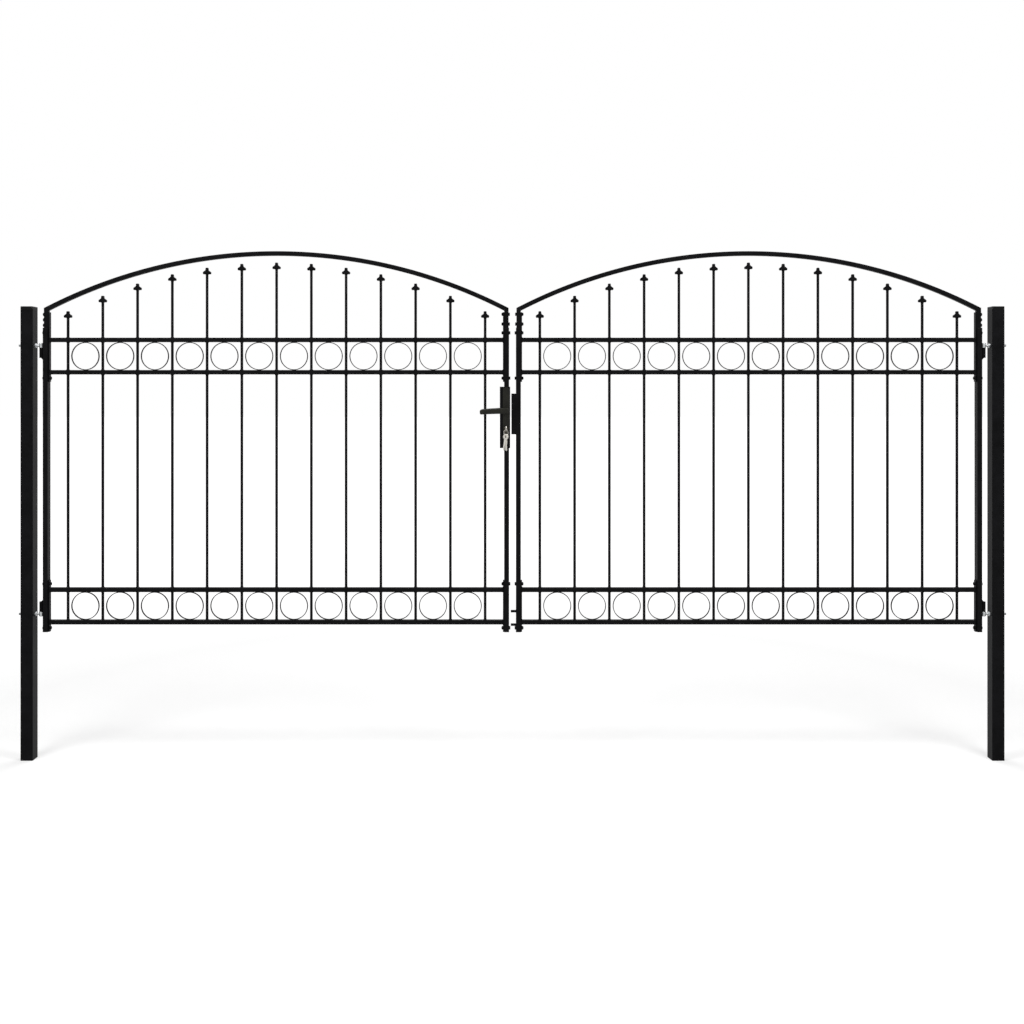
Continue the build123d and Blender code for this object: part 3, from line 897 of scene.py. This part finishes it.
# %% Two spare keys
left_edge_mm = [(-4.5, -11), (-4.5, -54), (-1.5, -57), (1.5, -57)]
cut_edge_mm = [(4.5, -53), (2.2, -50), (3.4, -46), (1.6, -42), (3, -38), (2, -34), (4.5, -29), (4.5, -11)]
ring_outer = 14 * mm
ring_inner = 12 * mm
ring_turn = math.radians(50)  # off the plane of the gate
hang_play = 0.3 * mm
spare_swings = (math.radians(-2), math.radians(9))  # the second spare rests against the first

ring_middle = Vector((bow_middle.x, bow_middle.y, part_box("hanging_keys")[1].z - ring_outer))
spare_z = ring_middle.z - ring_inner + hang_play - bow_hole
forward = upright(bow_middle.x, bow_middle.y, spare_z) @ Matrix.Rotation(ring_turn - math.pi / 2, 4, "Z")
hook = Matrix.Translation((0, 0, bow_hole))
hanging = bmesh.new()
for order, swing in enumerate(spare_swings):
    aside = Matrix.Translation((0, -order * (key_thickness + hang_play), 0))
    swung = hook @ Matrix.Rotation(swing, 4, "Y") @ hook.inverted()
    add_key(hanging, forward @ aside @ swung, left_edge_mm + cut_edge_mm)
print(len(spare_swings), "spares hang at", round(spare_z, 4))

# %% [markdown]
# ## Split ring
# The ring that holds the spares is wire wound twice round and pressed flat, so that a key can be worked
# on between its turns. Two plain rings would lack the wire's ends. So its section is spun twice while
# each step moves it along the axis, as the wire was wound, and both ends are closed.

# %% A ring wound twice
coil = 0.65 * mm
coil_round = 0.3 * coil
coil_turns = 2
coil_steps = 40 * coil_turns

wire = bmesh.new()
flat_wire = strip_section(ring_inner, ring_outer, coil)
corners = [(r, along - coil * coil_turns / 2, 0) for r, along in flat_wire]
first = rounded_loop(wire, corners, coil_round, segments=2)
winding = {"cent": (0, 0, 0), "axis": (0, 1, 0), "angle": 2 * math.pi * coil_turns}
climb = (0, coil * coil_turns / coil_steps, 0)
last = bmesh.ops.spin(wire, geom=first, dvec=climb, steps=coil_steps, **winding)["geom_last"]
for end in (first, last):
    bmesh.ops.contextual_create(wire, geom=edges_of(end))
bmesh.ops.recalc_face_normals(wire, faces=wire.faces)
hung = upright(*ring_middle) @ Matrix.Rotation(ring_turn, 4, "Z")
bmesh.ops.transform(wire, matrix=hung, verts=wire.verts)
join(hanging, wire)
piece("spare_key_on_ring", hanging, nickel, "left_leaf", ["hanging_keys"], crease=40)

# %% [markdown]
# ## Floor
# The gate is photographed on plain white paper. White could come from stronger lamps, but they would
# bleach the gate. So the paper glows a little, and fully towards its far edge, and it still takes the
# soft shadows of the posts. Only rays that show the background see this glow: those from the camera,
# off a glossy surface and through glass. To the rays that light the gate, the paper doesn't glow.

# %% A plane to stand on
floor_size = 60
floor_drop = 0.5 * mm

ground = bmesh.new()
place = upright(middle_x, 0, -floor_drop)
bmesh.ops.create_grid(ground, x_segments=1, y_segments=1, size=floor_size, matrix=place)
floor_mesh = bpy.data.meshes.new("floor")
ground.to_mesh(floor_mesh)
ground.free()
floor = bpy.data.objects.new("floor", floor_mesh)
bpy.context.collection.objects.link(floor)
print("floor of", 2 * floor_size, "m")

# %% White paper
near_glow = 0.5
glow_from = 2.6
glow_to = 6.0


def shows_background(tree):
    """1 for a ray from the camera, off a glossy surface or through glass, and 0 for others."""
    rays = add(tree, "ShaderNodeLightPath").outputs
    either = {"operation": "MAXIMUM"}
    mirrored = {0: rays["Is Glossy Ray"], 1: rays["Is Transmission Ray"]}
    bent = add(tree, "ShaderNodeMath", either, links=mirrored).outputs[0]
    return add(tree, "ShaderNodeMath", either, links={0: rays["Is Camera Ray"], 1: bent}).outputs[0]


paper = bpy.data.materials.new("white_paper_floor")
tree = empty_tree(paper)
place = add(tree, "ShaderNodeTexCoord").outputs["Object"]
foot = {1: (middle_x, 0, 0)}
away = add(tree, "ShaderNodeVectorMath", {"operation": "DISTANCE"}, foot, {0: place}).outputs["Value"]
strength = stretch(tree, away, (glow_from, glow_to), (near_glow, 1.0))
seen = {0: shows_background(tree), 1: strength}
glowing = add(tree, "ShaderNodeMath", {"operation": "MULTIPLY"}, links=seen).outputs[0]
sheet = add(tree, "ShaderNodeBsdfDiffuse", values={"Color": linear("#b8b8b8")}).outputs[0]
white = {"Color": linear("#ffffff")}
glow = add(tree, "ShaderNodeEmission", values=white, links={"Strength": glowing}).outputs[0]
lit = add(tree, "ShaderNodeAddShader", links={0: sheet, 1: glow}).outputs[0]
add(tree, "ShaderNodeOutputMaterial", links={"Surface": lit})
floor_mesh.materials.append(paper)
print("floor glows from", near_glow, "near the gate to 1.0")

# %% [markdown]
# ## World
# The wall behind the gate is white as well. The world shows as white to the same rays as the floor, and
# to all others it is a dim fill, the light that a pale room throws back into the shadows.

# %% White wall and fill
fill_light = 0.3

studio = bpy.data.worlds.new("studio")
bpy.context.scene.world = studio
tree = empty_tree(studio)
strength = stretch(tree, shows_background(tree), (0.0, 1.0), (fill_light, 1.0))
sky = add(tree, "ShaderNodeBackground", values=white, links={"Strength": strength}).outputs[0]
add(tree, "ShaderNodeOutputWorld", links={"Surface": sky})
print("world lights the gate at", fill_light)

# %% [markdown]
# ## Lamps
# Shop photographs are lit by soft boxes. A sun or a spot would throw hard shadows, while a square area
# lamp of a real size throws soft ones. Two stand high in front, left and right, and a wider one behind
# lights the tops of the rails. Their power is such that a colour renders about as it is written.

# %% Three soft boxes
gate_heart = (middle_x, 0, 1.1)


def lamp(name, place, size, power):
    """A square soft box that looks at the heart of the gate."""
    light = bpy.data.lights.new(name, "AREA")
    light.size = size
    light.energy = power
    obj = bpy.data.objects.new(name, light)
    obj.location = place
    obj.rotation_euler = (Vector(gate_heart) - Vector(place)).to_track_quat("-Z", "Y").to_euler()
    bpy.context.collection.objects.link(obj)
    print(name, power, "W")


lamp("soft_box_left", place=(middle_x - 2.6, -2.2, 5.2), size=1.6, power=150)
lamp("soft_box_right", place=(middle_x + 2.6, -2.2, 5.2), size=1.6, power=150)
lamp("soft_box_back", place=(middle_x, 2.6, 4.2), size=3.0, power=100)

# %% [markdown]
# ## Camera
# The photograph is taken square on, from about the height of the lock, so the posts stay upright and
# show their inner sides. Its lens and distance were solved from where the posts, rails and arches lie in
# the picture. Tilting the camera down would make the posts lean, so the frame is moved by a shift of the
# lens instead, as with a camera for buildings.

# %% Camera as in the photograph
photo_side = 1024  # pixels
focal_pixels = 1083
horizon_row = 391.6
sensor = 36.0
camera_distance = 4.4
camera_height = 1.5
camera_aside = -2 * mm

camera = bpy.data.cameras.new("camera")
camera.sensor_width = sensor
camera.lens = sensor * focal_pixels / photo_side
camera.shift_y = (horizon_row - photo_side / 2) / photo_side
eye = bpy.data.objects.new("camera", camera)
eye.location = (middle_x + camera_aside, post_low.y - camera_distance, camera_height)
eye.rotation_euler = (math.pi / 2, 0, 0)
bpy.context.collection.objects.link(eye)
bpy.context.scene.camera = eye
bpy.context.scene.view_settings.view_transform = "Standard"
print("camera", [round(v, 3) for v in eye.location], "lens", round(camera.lens, 2))
